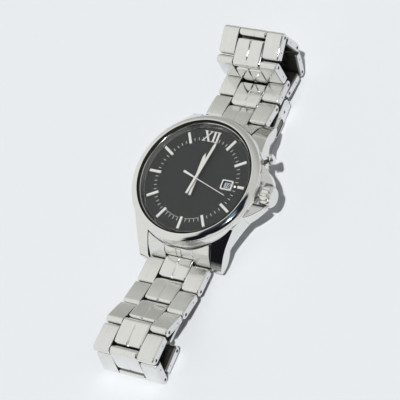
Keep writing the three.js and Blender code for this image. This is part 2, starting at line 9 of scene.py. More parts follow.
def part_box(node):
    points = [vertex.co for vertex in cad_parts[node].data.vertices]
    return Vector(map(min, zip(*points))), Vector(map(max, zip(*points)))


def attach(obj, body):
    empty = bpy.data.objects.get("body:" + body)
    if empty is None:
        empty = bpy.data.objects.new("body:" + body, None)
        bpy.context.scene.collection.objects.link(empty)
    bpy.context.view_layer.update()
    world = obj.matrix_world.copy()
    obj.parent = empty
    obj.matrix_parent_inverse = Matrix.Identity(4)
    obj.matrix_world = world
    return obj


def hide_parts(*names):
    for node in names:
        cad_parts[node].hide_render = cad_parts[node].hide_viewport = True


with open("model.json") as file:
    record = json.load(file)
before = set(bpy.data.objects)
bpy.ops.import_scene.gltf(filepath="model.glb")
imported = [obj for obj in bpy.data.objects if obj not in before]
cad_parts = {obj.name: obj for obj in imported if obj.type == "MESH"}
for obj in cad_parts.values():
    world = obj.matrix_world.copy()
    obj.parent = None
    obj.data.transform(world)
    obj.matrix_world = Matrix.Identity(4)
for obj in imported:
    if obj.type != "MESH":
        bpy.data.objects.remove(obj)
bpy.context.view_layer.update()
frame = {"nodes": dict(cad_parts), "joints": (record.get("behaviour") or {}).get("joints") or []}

# The watch is lofted from side outlines and turned from profiles in millimetres. The head has its own
# frame, with the dial's centre at the origin, 12 o'clock along +Y and the crystal facing +Z. Each
# bracelet link has one too, with its near pin at the origin and its far pin along +Y.

MM = 0.001
joints = {j["name"]: j for j in frame["joints"]}


def pin(name):
    """A hinge's place in the row frame, in millimetres."""
    return Vector(joints[name]["pos_m"]) / MM


# ------------------------------------------------------------------ driving dimensions
DIAL_CENTRE = pin("minute_hand_turn")
HEAD_UP = -Vector(joints["minute_hand_turn"]["axis"])
HEAD_TILT = math.atan2(-HEAD_UP.y, HEAD_UP.z)
HEAD = Matrix.Translation(DIAL_CENTRE) @ Matrix.Rotation(HEAD_TILT, 4, "X")
CASE_RADIUS = 21.0
LUG_SPAN = 22.0
LUG_INNER = LUG_SPAN / 2 + 0.12
END_GAP = 0.28              # from the middle of the lug gap's side to the end link
STEM_HEIGHT = -3.0
GUARD_FACE = 3.6
CROWN_RADIUS = 3.25
CROWN_START = 21.95         # inner end of the crown along its axis
FLUTES = 14
PUSHER_START = 21.9
PUSHER_ANGLE = math.radians(30)
END_PIN = (22.5, -9.1)
PITCH = 9.4
LINK_RADIUS = 1.5
LINK_GAP = 1.8
CENTRE_HALF = 4.75          # half width of a centre piece
SIDE_GAP = 0.12
PRESSED_PIN = 4.6           # from a link's near pin to the pin that holds its three pieces
ARCH = 0.2                  # how far a link's top falls from its middle to its ends
DIAL_RADIUS = 17.9
INNER_DIAL = 12.7
DATE_RADIUS = 10.6
SHOWN_DAY = 16


# ------------------------------------------------------------------ materials
def node(nt, kind, **values):
    """A new node with its properties and input values set by name."""
    n = nt.nodes.new(kind)
    for key, value in values.items():
        if hasattr(n, key):
            setattr(n, key, value)
        else:
            n.inputs[key.replace("_", " ")].default_value = value
    return n


def material(name, color, rough, metal=1.0, vary=0.0, rough_vary=0.0, grain=None, bump=0.0, **extra):
    """A Principled material whose colour, roughness and bump vary with noise of its own scale."""
    m = bpy.data.materials.new(name)
    m.use_nodes = True
    nt = m.node_tree
    p = nt.nodes["Principled BSDF"]
    p.inputs["Base Color"].default_value = (*color, 1)
    p.inputs["Roughness"].default_value = rough
    p.inputs["Metallic"].default_value = metal
    for key, value in extra.items():
        p.inputs[key.replace("_", " ")].default_value = value
    coords = nt.nodes.new("ShaderNodeTexCoord")
    stretch = nt.nodes.new("ShaderNodeMapping")
    stretch.inputs["Scale"].default_value = grain or (600, 600, 600)
    nt.links.new(coords.outputs["Object"], stretch.inputs["Vector"])
    fine = node(nt, "ShaderNodeTexNoise", Scale=1.0, Detail=4.0, Roughness=0.6)
    nt.links.new(stretch.outputs["Vector"], fine.inputs["Vector"])
    broad = node(nt, "ShaderNodeTexNoise", Scale=260.0, Detail=2.0)
    nt.links.new(coords.outputs["Object"], broad.inputs["Vector"])
    if vary:
        ramp = nt.nodes.new("ShaderNodeValToRGB")
        ramp.color_ramp.elements[0].position = 0.3
        ramp.color_ramp.elements[1].position = 0.7
        ramp.color_ramp.elements[0].color = (*[c * (1 - vary) for c in color], 1)
        ramp.color_ramp.elements[1].color = (*[min(1, c * (1 + vary)) for c in color], 1)
        nt.links.new(fine.outputs["Fac"], ramp.inputs["Fac"])
        nt.links.new(ramp.outputs["Color"], p.inputs["Base Color"])
    if rough_vary:
        span = nt.nodes.new("ShaderNodeMapRange")
        span.inputs["From Min"].default_value = 0.3
        span.inputs["From Max"].default_value = 0.7
        span.inputs["To Min"].default_value = max(0.02, rough - rough_vary)
        span.inputs["To Max"].default_value = rough + rough_vary
        nt.links.new(broad.outputs["Fac"], span.inputs["Value"])
        nt.links.new(span.outputs["Result"], p.inputs["Roughness"])
    if bump:
        relief = node(nt, "ShaderNodeBump", Strength=bump, Distance=0.00004)
        nt.links.new(fine.outputs["Fac"], relief.inputs["Height"])
        nt.links.new(relief.outputs["Normal"], p.inputs["Normal"])
    return m


STEEL = (0.80, 0.80, 0.78)
BRIGHT = (0.79, 0.79, 0.77)
ALONG_Y = (2600, 90, 2600)
brushed = material("brushed_steel", STEEL, 0.24, vary=0.03, rough_vary=0.04, grain=ALONG_Y, bump=0.1)
satin_side = material("satin_side_steel", (0.76, 0.755, 0.77), 0.24, vary=0.03, rough_vary=0.05,
                      grain=ALONG_Y, bump=0.12)
polished = material("polished_steel", BRIGHT, 0.09, vary=0.02, rough_vary=0.035, grain=(500, 500, 500),
                    bump=0.03)
mirror = material("mirror_steel", BRIGHT, 0.05, vary=0.015, rough_vary=0.02, grain=(400, 400, 400),
                  bump=0.02)
hand_steel = material("hand_steel", (0.90, 0.89, 0.86), 0.22, metal=0.35, vary=0.02, rough_vary=0.04,
                      grain=(900, 900, 900), bump=0.03)
# painted shade: dark steel colour for the hands' sloped edges, standing in for the minute hand's shadow
# and the dark reflections between overlapping hands
hand_shade = material("hand_shade_steel", (0.22, 0.22, 0.21), 0.3, vary=0.04, rough_vary=0.04,
                      grain=(900, 900, 900), bump=0.03)
dial_lacquer = material("dial_lacquer", (0.033, 0.037, 0.037), 0.45, metal=0.0, vary=0.04,
                        rough_vary=0.05, grain=(300, 300, 300), Specular_IOR_Level=0.3)
dial_print = material("dial_print", (0.62, 0.63, 0.62), 0.5, metal=0.0, vary=0.08,
                      grain=(4000, 4000, 4000), bump=0.05)
dark_ring = material("dark_polished_ring", (0.17, 0.17, 0.165), 0.18, metal=0.95, vary=0.06,
                     rough_vary=0.04, grain=(900, 900, 900), bump=0.03)
seal = material("rubber_seal", (0.006, 0.006, 0.0065), 0.6, metal=0.0, vary=0.2, rough_vary=0.08,
                grain=(2500, 2500, 2500), bump=0.1, Specular_IOR_Level=0.15)
date_white = material("date_print_white", (0.47, 0.53, 0.58), 0.5, metal=0.0, vary=0.02,
                      grain=(2000, 2000, 2000), bump=0.03)
date_ink = material("date_print_ink", (0.015, 0.028, 0.045), 0.5, metal=0.0, vary=0.1,
                    grain=(4000, 4000, 4000), bump=0.03)
holder = material("movement_holder_plastic", (0.68, 0.68, 0.65), 0.5, metal=0.0, vary=0.03,
                  rough_vary=0.05, grain=(1500, 1500, 1500), bump=0.1)
brass = material("movement_brass", (0.72, 0.58, 0.33), 0.32, vary=0.06, rough_vary=0.06,
                 grain=(900, 2400, 900), bump=0.15)
# painted shade: near-black steel colour for faces in the gaps between links, lugs and end links, under
# the pusher's cap and around the clasp buttons
painted_gap_shade = material("painted_gap_shade", (0.07, 0.068, 0.062), 0.42, metal=0.9, vary=0.12, rough_vary=0.06,
                     grain=(1800, 1800, 1800), bump=0.1)
# painted shade: darker steel colour for the faces that turn to the wrist, inside the bracelet's loop and
# the clasp cover
painted_inner_shade = material("inner_face_painted_shade", (0.20, 0.195, 0.185), 0.34, vary=0.08, rough_vary=0.06,
                       grain=ALONG_Y, bump=0.12)
button_steel = material("button_steel", (0.30, 0.30, 0.285), 0.3, vary=0.06, rough_vary=0.05,
                        grain=(900, 900, 900), bump=0.1)
# painted shade: near-black steel colour for the insides of pin holes, the clasp cover's holes and the
# bores of its button rims
painted_hole_shade = material("recess_painted_shade", (0.05, 0.05, 0.05), 0.5, metal=0.6, vary=0.1, rough_vary=0.05,
                       grain=(1500, 1500, 1500), bump=0.1)
glass = material("crystal_glass", (0.02, 0.02, 0.022), 0.02, metal=0.0, Alpha=0.06, IOR=1.77)


# ------------------------------------------------------------------ mesh helpers
def in_scene(name, data):
    """A new object with this data, linked to the scene."""
    obj = bpy.data.objects.new(name, data)
    bpy.context.scene.collection.objects.link(obj)
    return obj


def in_metres(place):
    """A placement whose translation is given in millimetres."""
    m = place.copy()
    m.translation = m.translation * MM
    return m


def piece(name, bm, mats, body, place, smooth=35, replaces=()):
    """Makes an object from a bmesh in millimetres, places it and hangs it on its CAD body."""
    bmesh.ops.remove_doubles(bm, verts=bm.verts, dist=1e-4)
    bmesh.ops.recalc_face_normals(bm, faces=bm.faces)
    bm.transform(Matrix.Scale(MM, 4))
    mesh = bpy.data.meshes.new(name)
    bm.to_mesh(mesh)
    bm.free()
    mesh.shade_smooth()
    mesh.set_sharp_from_angle(angle=math.radians(smooth))
    for m in mats:
        mesh.materials.append(m)
    obj = in_scene(name, mesh)
    flatten(obj)
    obj.matrix_world = in_metres(place)
    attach(obj, body)
    if replaces:
        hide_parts(*replaces)
    return obj


def flatten(obj):
    """Keeps large faces flat where they meet small bevels."""
    flat = obj.modifiers.new("flat_faces", "WEIGHTED_NORMAL")
    flat.keep_sharp = True
    flat.weight = 90


def ease(obj, width, angle=35):
    """Rounds the edges where an object's faces turn by more than angle degrees."""
    mod = obj.modifiers.new("eased_edges", "BEVEL")
    mod.width = width * MM
    mod.segments = 3
    mod.limit_method = "ANGLE"
    mod.angle_limit = math.radians(angle)
    mod.harden_normals = True


def arc(cx, cy, r, a0, a1, n):
    """Points on an arc, angles in degrees."""
    return [(cx + r * math.cos(math.radians(a0 + (a1 - a0) * i / n)),
             cy + r * math.sin(math.radians(a0 + (a1 - a0) * i / n))) for i in range(n + 1)]


def curve(p0, p1, p2, n):
    """Points on a quadratic curve, its start left out."""
    out = []
    for i in range(1, n + 1):
        t = i / n
        out.append(tuple((1 - t) ** 2 * a + 2 * t * (1 - t) * b + t * t * c
                         for a, b, c in zip(p0, p1, p2)))
    return out


def inset(profile, d):
    """A closed outline moved inward by d along the mean normal of each corner."""
    if not d:
        return list(profile)
    n = len(profile)
    area = sum(profile[i][0] * profile[(i + 1) % n][1] - profile[(i + 1) % n][0] * profile[i][1]
               for i in range(n))
    s = 1 if area > 0 else -1
    out = []
    for i in range(n):
        a, b, c = (Vector(profile[(i + k) % n]) for k in (-1, 0, 1))
        e0, e1 = (b - a).normalized(), (c - b).normalized()
        n0, n1 = Vector((-e0.y, e0.x)) * s, Vector((-e1.y, e1.x)) * s
        m = (n0 + n1).normalized()
        out.append(tuple(b + m / max(0.5, m.dot(n0)) * d))
    return out


def skin(bm, rings, mat_of=lambda k, i: 0, wrap=False):
    """Joins equal closed rings of vertices by quads, and the last to the first if they wrap."""
    n = len(rings[0])
    following = rings[1:] + rings[:1] if wrap else rings[1:]
    for k, (a, b) in enumerate(zip(rings, following)):
        for i in range(n):
            j = (i + 1) % n
            bm.faces.new((a[i], a[j], b[j], b[i])).material_index = mat_of(k, i)


def loft_x(bm, profile, stations, mat_of=lambda k, y, z: 0, holes0=(), holes1=(), hole_depth=0.6,
           hole_mat=0, cap0=0, cap1=0, groove=()):
    """Lofts a (y, z) outline along X. Stations are (x, inset). The caps can have round recesses.
    The insets of the stations listed in groove are cut into the top only, deepest at its ends."""
    rings = []
    for k, (x, d) in enumerate(stations):
        cut = inset(profile, d)
        if k in groove:
            middle = max(y for y, z in profile) / 2
            cut = [Vector(p).lerp(Vector(q), 0.3 + 0.7 * ((p[0] - middle) / middle) ** 2)
                   if p[1] > 0.5 and p[0] > 0.9 else p for p, q in zip(profile, cut)]
        rings.append([bm.verts.new((x, y, z)) for y, z in cut])
    n = len(profile)
    between = [(Vector(profile[i]) + Vector(profile[(i + 1) % n])) / 2 for i in range(n)]
    skin(bm, rings, lambda k, i: mat_of(k, *between[i]))
    away = 1 if stations[0][0] < stations[-1][0] else -1
    around_hole = 24
    for ring, holes, inward, x, cap_mat in ((rings[0], holes0, away, stations[0][0], cap0),
                                            (rings[-1], holes1, -away, stations[-1][0], cap1)):
        if not holes:
            bm.faces.new(ring).material_index = cap_mat
            continue
        edges = [bm.edges.get((ring[i], ring[(i + 1) % n])) for i in range(n)]
        for y, z, r in holes:
            outline = arc(y, z, r, 0, 360, around_hole)[:-1]
            mouth = [bm.verts.new((x, a, b)) for a, b in outline]
            floor = [bm.verts.new((x + inward * hole_depth, a, b)) for a, b in outline]
            skin(bm, [mouth, floor], lambda k, i: hole_mat)
            bm.faces.new(floor).material_index = hole_mat
            edges += [bm.edges.get((mouth[i], mouth[(i + 1) % around_hole]))
                      for i in range(around_hole)]
        made = bmesh.ops.triangle_fill(bm, edges=edges, use_beauty=True)
        for g in made["geom"]:
            if isinstance(g, bmesh.types.BMFace):
                g.material_index = cap_mat


def extrude_z(bm, outline, z0, z1, edge=0.0, mat=0):
    """Extrudes an (x, y) outline along Z with a small chamfer on its top edge."""
    levels = [(z0, 0.0), (z1 - edge, 0.0)] + ([(z1, edge)] if edge else [])
    rings = [[bm.verts.new((x, y, z)) for x, y in inset(outline, d)] for z, d in levels]
    skin(bm, rings, lambda k, i: mat)
    for ring in (rings[0], rings[-1]):
        bm.faces.new(ring).material_index = mat


def turn(bm, profile, segments=128, mats=None, closed=True):
    """Turns a list of (radius, z) about Z. mats gives a material for each profile edge."""
    rings = []
    for r, z in profile:
        if r < 1e-6:
            rings.append([bm.verts.new((0, 0, z))])
        else:
            rings.append([bm.verts.new((r * math.cos(2 * math.pi * i / segments),
                                        r * math.sin(2 * math.pi * i / segments), z))
                          for i in range(segments)])
    count = len(rings)
    for k in range(count if closed else count - 1):
        a, b = rings[k], rings[(k + 1) % count]
        if len(a) == 1 and len(b) == 1:
            continue
        for i in range(segments):
            j = (i + 1) % segments
            if len(a) == 1:
                f = bm.faces.new((a[0], b[i], b[j]))
            elif len(b) == 1:
                f = bm.faces.new((a[i], b[0], a[j]))
            else:
                f = bm.faces.new((a[i], b[i], b[j], a[j]))
            f.material_index = mats[k] if mats else 0


def moved(bm, start, matrix):
    """Applies a matrix to the vertices made since start."""
    verts = list(bm.verts)[start:]
    bmesh.ops.transform(bm, matrix=matrix, verts=verts)


def helper(bm, name):
    """Temporary object of a boolean, in millimetres."""
    bmesh.ops.remove_doubles(bm, verts=bm.verts, dist=1e-4)
    bmesh.ops.recalc_face_normals(bm, faces=bm.faces)
    mesh = bpy.data.meshes.new(name)
    bm.to_mesh(mesh)
    bm.free()
    return in_scene(name, mesh)


def apply_boolean(obj, tool, operation):
    """Mesh of a boolean between two objects. The tool is deleted."""
    obj.modifiers.clear()
    mod = obj.modifiers.new("carve", "BOOLEAN")
    mod.operation = operation
    mod.solver = "EXACT"
    mod.object = tool
    bpy.context.view_layer.update()
    dg = bpy.context.evaluated_depsgraph_get()
    result = bpy.data.meshes.new_from_object(obj.evaluated_get(dg))
    obj.modifiers.clear()
    bpy.data.objects.remove(tool)
    return result


def combine(bm, other, operation):
    """Boolean of two helper shapes in millimetres, as a mesh."""
    base = helper(bm, "base")
    mesh = apply_boolean(base, helper(other, "tool"), operation)
    bpy.data.objects.remove(base)
    return mesh


def carve(obj, cutter, place):
    """Cuts a shape out of a piece and keeps the result in the piece's mesh."""
    tool = helper(cutter, "cutter")
    tool.data.transform(Matrix.Scale(MM, 4))
    tool.matrix_world = in_metres(place)
    obj.data = apply_boolean(obj, tool, "DIFFERENCE")
    obj.data.shade_smooth()
    obj.data.set_sharp_from_angle(angle=math.radians(35))
    flatten(obj)


# ------------------------------------------------------------------ case
def case_body():
    looks = [brushed, polished, mirror]
    bm = bmesh.new()
    band = [(17.2, -6.6), (18.3, -6.6), (19.2, -6.15), (20.1, -5.35), (20.75, -4.3), (21.05, -3.2),
            (21.1, -2.2), (21.0, -1.2), (20.75, -0.35), (20.45, 0.1), (20.2, 0.3), (17.2, 0.3)]
    turn(bm, band, 160)
    for side in (1, -1):
        guard(bm, side, looks.index)
    piece("case_shell", bm, looks, "case", HEAD, smooth=28,
          replaces=["case_middle"])


def guard(bm, side, at):
    """Crown guard: a solid ramp that rises out of the case band beside the crown."""
    start_y, root_radius, full_rise = 9.0, 19.0, 3.6
    outer = curve((19.2, start_y), (22.0, 7.3), (24.0, 4.35), 16)
    outer += curve(outer[-1], (24.45, 3.68), (23.75, GUARD_FACE), 6)
    rings = []
    for k, (x, y) in enumerate(outer):
        root_y = start_y + (GUARD_FACE - start_y) * (k + 1) / len(outer)
        root_x = math.sqrt(root_radius ** 2 - root_y ** 2)
        rise = max(0.0, min(1.0, (math.hypot(x, y) - CASE_RADIUS + 0.1) / full_rise)) ** 1.3
        top, bottom = -0.5 - 1.3 * rise, -5.45 + 1.0 * rise
        reach = math.hypot(x - root_x, y - root_y)
        edge = min(0.34, 0.3 * reach)

        def back(distance):
            """The point this far from the outer edge towards the root."""
            return x - (x - root_x) / reach * distance, y - (y - root_y) / reach * distance

        ring = [(root_x, root_y, bottom), (root_x, root_y, -0.35), (*back(edge), top),
                (*back(0.3 * edge), top - 0.3 * edge), (x, y, top - edge), (x, y, bottom + edge),
                (*back(edge), bottom)]
        rings.append([bm.verts.new((px, side * py, z)) for px, py, z in ring])
    sides = [polished, polished, mirror, mirror, polished, polished, polished]
    skin(bm, rings, lambda k, i: at(sides[i]))
    bm.faces.new(rings[0])
    bm.faces.new(rings[-1]).material_index = at(polished)


def plan_x(y):
    """Outer face of a lug at y: it leaves the round case and narrows to the tip."""
    (x0, y0), (x1, y1), (x2, y2) = (20.2, 6.0), (16.0, 14.5), (14.2, 25.0)
    a, b = y0 - 2 * y1 + y2, 2 * (y1 - y0)
    t = min(1.0, (math.sqrt(b * b + 4 * a * (y - y0)) - b) / (2 * a))
    return (1 - t) ** 2 * x0 + 2 * t * (1 - t) * x1 + t * t * x2


def lugs():
    """The four lugs: a side outline with an outward-falling top, cut to the plan of the case."""
    looks = [brushed, polished, mirror, painted_gap_shade]
    at = looks.index
    shoulder, nose, heel = (12.5, 0.05), (24.5, -9.6), (22.7, -10.3)
    top = [(4.0, 0.22), shoulder] + curve(shoulder, (19.2, -2.05), (24.1, -8.0), 20)
    end = [nose] + curve(nose, (24.5, -10.2), (24.0, -10.3), 4)
    under = [heel] + curve(heel, (19.8, -9.8), (17.6, -6.6), 10) + [(4.0, -6.4)]
    side = top + end + under
    # how far the top has fallen at the case's radius, though never below the nose
    fall = [min(2.4 * max(0.0, min(1.0, (y - 7) / 9)), z - nose[1]) for y, z in top]
    fall += [0.0] * (len(side) - len(top))
    steps = 28
    ys = [6.0 + 20.0 * k / steps for k in range(steps + 1)]
    root = [(max(LUG_INNER - 0.5, math.sqrt(max(0.0, 19.2 ** 2 - y ** 2))), y) for y in ys]
    plan = [(plan_x(y), y) for y in ys] + root[::-1]
    every = bmesh.new()
    for sx in (1, -1):
        for sy in (1, -1):
            bm = bmesh.new()
            rings = [[bm.verts.new((sx * x, sy * y, z - part * f)) for (y, z), f in zip(side, fall)]
                     for x, part in ((LUG_INNER, 0), (CASE_RADIUS, 1))]
            skin(bm, rings, lambda k, i: at(mirror if i < len(top) - 1 else polished))
            # painted shade: the face towards the end link takes the near-black gap colour
            bm.faces.new(rings[0]).material_index = at(painted_gap_shade)
            bm.faces.new(rings[1]).material_index = at(polished)
            cutter = bmesh.new()
            extrude_z(cutter, [(sx * x, sy * y) for x, y in plan], -12, 3, mat=at(polished))
            solid = combine(bm, cutter, "INTERSECT")
            every.from_mesh(solid)
            bpy.data.meshes.remove(solid)
    # after the cut only the faces still facing across the gap keep the painted shade
    for f in every.faces:
        if f.material_index == at(painted_gap_shade) and abs(f.normal.x) < 0.9:
            f.material_index = at(polished)
    obj = piece("case_lugs", every, looks, "case", HEAD, smooth=24)
    ease(obj, 0.16, 32)
    obj.modifiers.move(1, 0)       # ahead of the weighted normals


def bezel():
    bm = bmesh.new()
    profile = [(18.68, 0.5), (20.4, 0.42), (20.85, 0.62), (21.0, 0.85), (21.0, 1.0), (20.92, 1.25),
               (20.72, 1.5), (20.42, 1.75), (20.05, 1.97), (19.62, 2.16), (19.2, 2.3), (18.92, 2.37),
               (18.79, 2.35), (18.72, 2.22)]
    turn(bm, profile, 192)
    piece("bezel_ring", bm, [mirror], "case", HEAD, smooth=40, replaces=["bezel"])


def crystal():
    bm = bmesh.new()
    turn(bm, [(0, 1.85), (18.15, 1.85), (18.2, 1.95), (18.2, 2.5), (18.05, 2.68), (17.8, 2.78),
              (0, 2.8)], 128, closed=False)
    obj = piece("crystal_pane", bm, [glass], "case", HEAD, smooth=30, replaces=["crystal"])
    obj.visible_shadow = False


def rings_under_glass():
    bm = bmesh.new()
    turn(bm, [(18.22, 1.5), (18.68, 1.5), (18.7, 2.0), (18.6, 2.14), (18.4, 2.18), (18.22, 2.1)], 128)
    piece("crystal_seal", bm, [seal], "case", HEAD, replaces=["crystal_gasket"])
    bm = bmesh.new()
    turn(bm, [(17.05, 0.04), (18.4, 0.04), (18.4, 1.45), (18.1, 1.5), (17.95, 1.38), (17.7, 0.98),
              (17.35, 0.5), (17.15, 0.16)], 128, mats=[0, 0, 0, 1, 0, 0, 0, 0])
    piece("rehaut", bm, [dark_ring, polished], "case", HEAD, smooth=50,
          replaces=["rehaut_ring"])


case_body()
lugs()
bezel()
crystal()
rings_under_glass()


# ------------------------------------------------------------------ dial
def around(angle):
    """Matrix that turns a shape drawn at 12 o'clock to a clockwise clock angle in degrees."""
    return Matrix.Rotation(-math.radians(angle), 4, "Z")


def dial_plate():
    bm = bmesh.new()
    turn(bm, [(0, -0.4), (DIAL_RADIUS, -0.4), (DIAL_RADIUS, 0.0), (INNER_DIAL + 0.12, 0.0),
              (INNER_DIAL + 0.03, -0.03), (INNER_DIAL, -0.12), (0, -0.12)], 160, closed=False)
    obj = piece("dial_plate", bm, [dial_lacquer], "case", HEAD, smooth=20,
                replaces=["dial"])
    window = bmesh.new()
    near, far, half = DATE_RADIUS - 1.15, DATE_RADIUS + 1.15, 0.92
    extrude_z(window, [(near, -half), (far, -half), (far, half), (near, half)], -1, 1)
    carve(obj, window, HEAD)


def baton(bm, r0, r1, width, height, angle):
    """Applied marker with a flat top and sloped edges."""
    start = len(bm.verts)
    w = width / 2
    extrude_z(bm, [(-w, r0), (w, r0), (w, r1), (-w, r1)], 0, height, 0.06)
    moved(bm, start, around(angle))


def bar(bm, x0, y0, x1, y1, width, z0, z1, edge=0.03):
    """Straight raised stroke between two points of the dial."""
    d = Vector((x1 - x0, y1 - y0)).normalized()
    n = Vector((-d.y, d.x)) * width / 2
    extrude_z(bm, [(x0 + n.x, y0 + n.y), (x0 - n.x, y0 - n.y), (x1 - n.x, y1 - n.y),
                   (x1 + n.x, y1 + n.y)], z0, z1, edge)


def window_frame(bm, centre):
    """Raised frame with rounded corners and a dark slope down to the date."""
    corner = 0.38
    rings = []
    for half_x, half_y, z in ((1.95, 1.62, -0.14), (1.9, 1.57, 0.24), (1.5, 1.2, 0.24),
                              (1.22, 0.98, -0.35)):
        x, y = half_x - corner, half_y - corner
        ring = []
        for k, (cx, cy) in enumerate(((x, y), (-x, y), (-x, -y), (x, -y))):
            ring += arc(cx, cy, corner, 90 * k, 90 * k + 90, 5)
        rings.append([bm.verts.new((centre + a, b, z)) for a, b in ring])
    skin(bm, rings, lambda k, i: 1 if k == 2 else 0, wrap=True)


def dial_markers():
    bm = bmesh.new()
    for h in (1, 2, 4, 5, 6, 7, 8, 9, 10, 11):
        baton(bm, 12.55, 16.5, 0.84, 0.34, h * 30)
    baton(bm, 14.35, 16.5, 0.84, 0.34, 90)
    start = len(bm.verts)
    turn(bm, [(0, 0), (0.4, 0), (0.36, 0.22), (0.2, 0.3), (0, 0.32)], 20, closed=False)
    moved(bm, start, Matrix.Translation((13.35, 0, 0)))
    # Roman twelve, with serifs
    low, high = 12.65, 15.95
    thick, thin, lift = 0.62, 0.3, 0.26
    bar(bm, -2.6, high - 0.1, -0.75, low + 0.1, thick, 0, lift)
    bar(bm, -0.6, high - 0.1, -2.75, low + 0.1, thin, 0, lift)
    for x in (0.65, 1.95):
        bar(bm, x, high - 0.1, x, low + 0.1, thick, 0, lift)
    for x0, x1 in ((-3.2, -1.95), (-1.3, -0.15), (0.05, 2.55)):
        for y in (low, high):
            bar(bm, x0, y, x1, y, 0.2, 0, lift)
    window_frame(bm, DATE_RADIUS)
    piece("dial_markers", bm, [hand_steel, dial_lacquer], "case", HEAD, smooth=15)


def dial_ticks():
    bm = bmesh.new()
    for minute in range(60):
        if minute % 5 == 0 or minute in (1, 59):
            continue
        start = len(bm.verts)
        bar(bm, 0, 13.1, 0, 14.1, 0.16, 0, 0.02, 0)
        moved(bm, start, around(minute * 6))
    # power scale: two bracketed arcs between 5 and 7 o'clock
    for start, end in ((155, 176), (185, 208)):
        points = arc(0, 0, 12.95, 90 - start, 90 - end, 8)
        for p, q in zip(points, points[1:]):
            bar(bm, *p, *q, 0.11, 0, 0.02, 0)
    piece("dial_ticks", bm, [dial_print], "case", HEAD)


def date_disc():
    """The date ring and its numbers, with the shown day in the window."""
    bm = bmesh.new()
    turn(bm, [(8.6, -1.0), (12.6, -1.0), (12.6, -0.55), (12.5, -0.5), (8.7, -0.5), (8.6, -0.55)], 96)
    piece("date_disc", bm, [date_white], "date_ring", HEAD, replaces=["date_ring"])
    numbers = bmesh.new()
    days = 31
    for k in range(days):
        text = bpy.data.curves.new("day", "FONT")
        text.body = str((SHOWN_DAY + k - 1) % days + 1)
        text.size = 1.95
        text.align_x = "CENTER"
        text.align_y = "CENTER"
        text.extrude = 0.01
        text.offset = 0.04
        letters = in_scene("day_text", text)
        bpy.context.view_layer.update()
        dg = bpy.context.evaluated_depsgraph_get()
        mesh = bpy.data.meshes.new_from_object(letters.evaluated_get(dg))
        bpy.data.objects.remove(letters)
        mesh.transform(Matrix.Rotation(-2 * math.pi * k / days, 4, "Z")
                       @ Matrix.Translation((DATE_RADIUS, 0, -0.49)) @ Matrix.Diagonal((0.95, 1, 1, 1)))
        numbers.from_mesh(mesh)
        bpy.data.meshes.remove(mesh)
    piece("date_numbers", numbers, [date_ink], "date_ring", HEAD)


def hand(name, body, outline, z0, z1, angle, hub, edge, collar=0.03):
    """A hand drawn at 12 o'clock with painted shade on its sloped edges and a boss around the arbor."""
    bm = bmesh.new()
    levels = [(z0, outline), (z1 - edge, outline), (z1, inset(outline, edge))]
    rings = [[bm.verts.new((x, y, z)) for x, y in ring] for z, ring in levels]
    looks = [hand_steel, hand_shade]
    skin(bm, rings, lambda k, i: looks.index(hand_shade))
    bm.faces.new(rings[0])
    bm.faces.new(rings[2])
    turn(bm, [(0, z0 - 0.1), (hub, z0 - 0.1), (hub, z1 + 0.02), (hub - 0.1, z1 + collar),
              (0, z1 + collar)], 40, closed=False)
    moved(bm, 0, around(angle))
    piece(name, bm, looks, body, HEAD, smooth=12, replaces=[body])


def pencil(length, tail, width, tail_width, tip):
    """Outline of a hand with a pointed tip and a straight tail."""
    w, t = width / 2, tail_width / 2
    return [(-t, -tail), (t, -tail), (w, 0), (w, length - tip), (0, length), (-w, length - tip), (-w, 0)]


dial_plate()
dial_markers()
dial_ticks()
date_disc()
hand("hour_hand_blade", "hour_hand", pencil(9.0, 5.7, 1.35, 1.15, 1.7), 0.4, 0.62, angle=0.6,
     hub=0.6, edge=0.2)
hand("minute_hand_blade", "minute_hand", pencil(13.1, 5.5, 1.1, 1.0, 1.5), 0.85, 1.03, angle=11.5,
     hub=0.55, edge=0.14)
needle = [(0.36, -4.65), (0.3, -1.1), (0.15, -0.7), (0.12, 12.3)]
hand("seconds_hand_blade", "seconds_hand", [(-x, y) for x, y in needle] + needle[::-1], 1.2, 1.32,
     angle=107.8, hub=0.5, edge=0.02, collar=0.05)


# ------------------------------------------------------------------ crown and pusher
def toward_x(place):
    """Turns +Z, a turned shape's axis, to +X and puts its start at place."""
    return Matrix.Translation(place) @ Matrix.Rotation(math.pi / 2, 4, "Y")


def crown():
    """Fluted crown: a turned profile whose radius dips along each flute."""
    bm = bmesh.new()
    segments = FLUTES * 12
    # radius, height and how much of the flute's depth is left there
    profile = [(2.6, 0.0, 0.2), (3.05, 0.02, 0.5), (3.22, 0.25, 1.0), (CROWN_RADIUS, 0.9, 1.0),
               (CROWN_RADIUS, 2.1, 1.0), (3.22, 2.65, 1.0), (3.12, 3.0, 0.75), (2.9, 3.35, 0.35),
               (2.5, 3.64, 0.08), (1.9, 3.85, 0), (1.1, 3.99, 0)]
    turns = [2 * math.pi * i / segments for i in range(segments)]
    rings = []
    for r, z, depth in profile:
        radii = [r - 0.36 * depth * (0.5 + 0.5 * math.cos(FLUTES * a)) ** 1.6 for a in turns]
        rings.append([bm.verts.new((q * math.cos(a), q * math.sin(a), z)) for q, a in zip(radii, turns)])
    skin(bm, rings)
    crest, tip = rings[-1], bm.verts.new((0, 0, 4.04))
    for i in range(segments):
        bm.faces.new((crest[i], crest[(i + 1) % segments], tip))
    bm.faces.new(rings[0])
    moved(bm, 0, toward_x((CROWN_START, 0, STEM_HEIGHT)))
    piece("crown_cap", bm, [polished], "crown", HEAD, smooth=40, replaces=["crown"])


